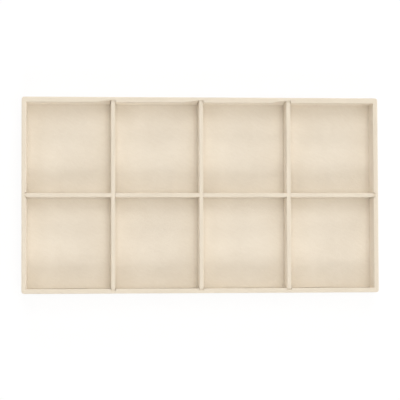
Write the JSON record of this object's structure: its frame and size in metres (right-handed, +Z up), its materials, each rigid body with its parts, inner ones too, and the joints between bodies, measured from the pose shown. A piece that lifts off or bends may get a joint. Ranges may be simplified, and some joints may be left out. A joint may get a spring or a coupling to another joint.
{
  "type": "jewelry tray",
  "caption": "Low rectangular velvet-covered jewelry tray with open compartments formed by a lift-out grid of lapped dividers.",
  "frame": {"origin": "middle of the underside, on the surface that the tray stands on", "axes": "+X along the length to the right, +Y from the front to the back, +Z up"},
  "size_m": [0.356, 0.195, 0.03],
  "materials": {
    "velvet": "short-pile beige velvet, matt with a soft sheen, glued over board and card",
    "felt": "pressed beige felt, matt",
    "board": "raw fibreboard, matt",
    "card": "raw grey bookbinding card, matt"
  },
  "bodies": {
    "tray": {"underside_felt": "felt", "base_board": "board", "outer_wrap": "velvet", "back_wall_board": "board", "front_wall_board": "board", "right_wall_board": "board", "left_wall_board": "board", "floor_card": "card", "floor_velvet": "velvet", "back_lining_card_1": "card", "back_lining_velvet_1": "velvet", "back_lining_card_2": "card", "back_lining_velvet_2": "velvet", "back_lining_card_3": "card", "back_lining_velvet_3": "velvet", "back_lining_card_4": "card", "back_lining_velvet_4": "velvet", "front_lining_card_1": "card", "front_lining_velvet_1": "velvet", "front_lining_card_2": "card", "front_lining_velvet_2": "velvet", "front_lining_card_3": "card", "front_lining_velvet_3": "velvet", "front_lining_card_4": "card", "front_lining_velvet_4": "velvet", "left_lining_card_front": "card", "left_lining_velvet_front": "velvet", "left_lining_card_back": "card", "left_lining_velvet_back": "velvet", "right_lining_card_front": "card", "right_lining_velvet_front": "velvet", "right_lining_card_back": "card", "right_lining_velvet_back": "velvet"},
    "long_divider": {"long_divider_board": "board", "long_divider_sleeve": "velvet"},
    "left_cross_divider": {"left_cross_divider_board": "board", "left_cross_divider_sleeve": "velvet"},
    "middle_cross_divider": {"middle_cross_divider_board": "board", "middle_cross_divider_sleeve": "velvet"},
    "right_cross_divider": {"right_cross_divider_board": "board", "right_cross_divider_sleeve": "velvet"}
  },
  "joints": [
    {"name": "grid_lift", "type": "slide", "parent": "tray", "child": "long_divider", "axis": [0, 0, 1], "range_m": [0, 0.04]},
    {"name": "left_cross_lift", "type": "slide", "parent": "long_divider", "child": "left_cross_divider", "axis": [0, 0, 1], "range_m": [0, 0.04]},
    {"name": "middle_cross_lift", "type": "slide", "parent": "long_divider", "child": "middle_cross_divider", "axis": [0, 0, 1], "range_m": [0, 0.04]},
    {"name": "right_cross_lift", "type": "slide", "parent": "long_divider", "child": "right_cross_divider", "axis": [0, 0, 1], "range_m": [0, 0.04]}
  ]
}
